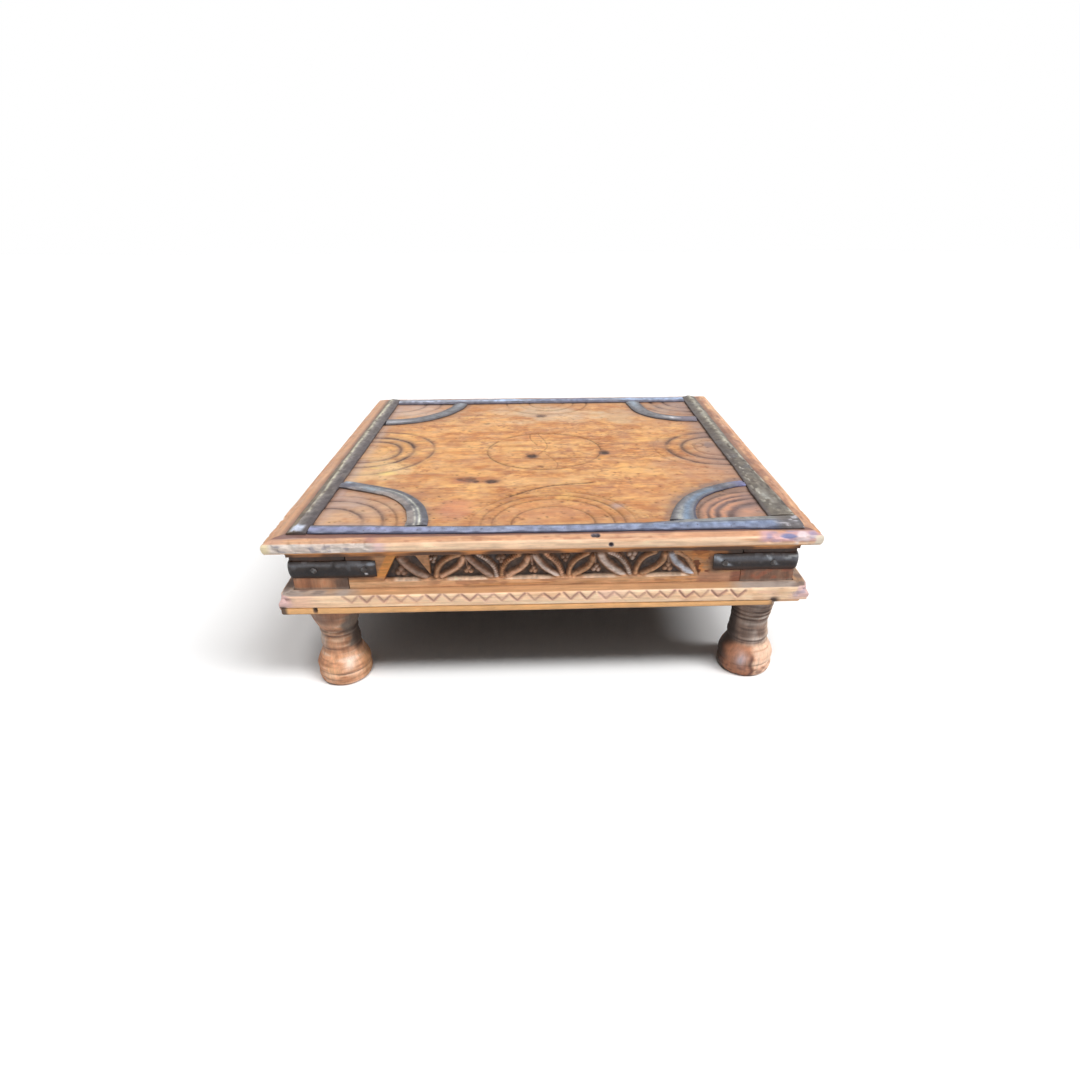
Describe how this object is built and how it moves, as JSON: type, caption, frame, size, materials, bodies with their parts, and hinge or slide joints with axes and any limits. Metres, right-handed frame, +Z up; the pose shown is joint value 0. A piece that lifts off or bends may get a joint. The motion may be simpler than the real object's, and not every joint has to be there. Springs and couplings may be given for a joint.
{
  "type": "bajot low table",
  "caption": "Low square wooden table with an iron-strapped plank top, carved leaf frieze, moulded base and turned feet.",
  "frame": {"origin": "on the floor under the middle of the top", "axes": "+Z up, -Y towards the front, +X to the right as seen from the front"},
  "size_m": [0.6, 0.6, 0.2098],
  "materials": {
    "top_wood": "worn, oiled, with dark grain, knots and cracks",
    "base_wood": "worn pale on the face, darker below",
    "carved_wood": "dark in the hollows, rubbed on the rims",
    "leg_wood": "turned, rubbed, with dirt in the grooves",
    "inner_wood": "bare and dusty",
    "strap_iron": "worn, half-bright wrought iron",
    "black_iron": "blackened wrought iron",
    "nail_iron": "rubbed bright"
  },
  "bodies": {
    "root": {"top_frame_front": "top_wood", "top_frame_right": "top_wood", "top_frame_back": "top_wood", "top_frame_left": "top_wood", "top_plank_1": "top_wood", "top_plank_2": "top_wood", "top_plank_3": "top_wood", "top_plank_4": "top_wood", "top_plank_5": "top_wood", "batten_left": "inner_wood", "batten_right": "inner_wood", "frieze_rail_front": "carved_wood", "frieze_rail_right": "carved_wood", "frieze_rail_back": "carved_wood", "frieze_rail_left": "carved_wood", "leg_front_left": "leg_wood", "leg_front_right": "leg_wood", "leg_back_right": "leg_wood", "leg_back_left": "leg_wood", "base_moulding_front": "base_wood", "base_moulding_right": "base_wood", "base_moulding_back": "base_wood", "base_moulding_left": "base_wood", "edge_strap_front": "strap_iron", "edge_strap_right": "strap_iron", "edge_strap_back": "strap_iron", "edge_strap_left": "strap_iron", "arc_strap_front_left": "strap_iron", "arc_strap_front_right": "strap_iron", "arc_strap_back_right": "strap_iron", "arc_strap_back_left": "strap_iron", "corner_strap_front_left": "black_iron", "corner_strap_front_right": "black_iron", "corner_strap_back_right": "black_iron", "corner_strap_back_left": "black_iron", "nail_front_left_front_1": "nail_iron", "nail_front_left_front_2": "nail_iron", "nail_front_left_left_1": "nail_iron", "nail_front_left_left_2": "nail_iron", "nail_front_right_front_1": "nail_iron", "nail_front_right_front_2": "nail_iron", "nail_front_right_right_1": "nail_iron", "nail_front_right_right_2": "nail_iron", "nail_back_right_back_1": "nail_iron", "nail_back_right_back_2": "nail_iron", "nail_back_right_right_1": "nail_iron", "nail_back_right_right_2": "nail_iron", "nail_back_left_back_1": "nail_iron", "nail_back_left_back_2": "nail_iron", "nail_back_left_left_1": "nail_iron", "nail_back_left_left_2": "nail_iron"}
  },
  "joints": []
}
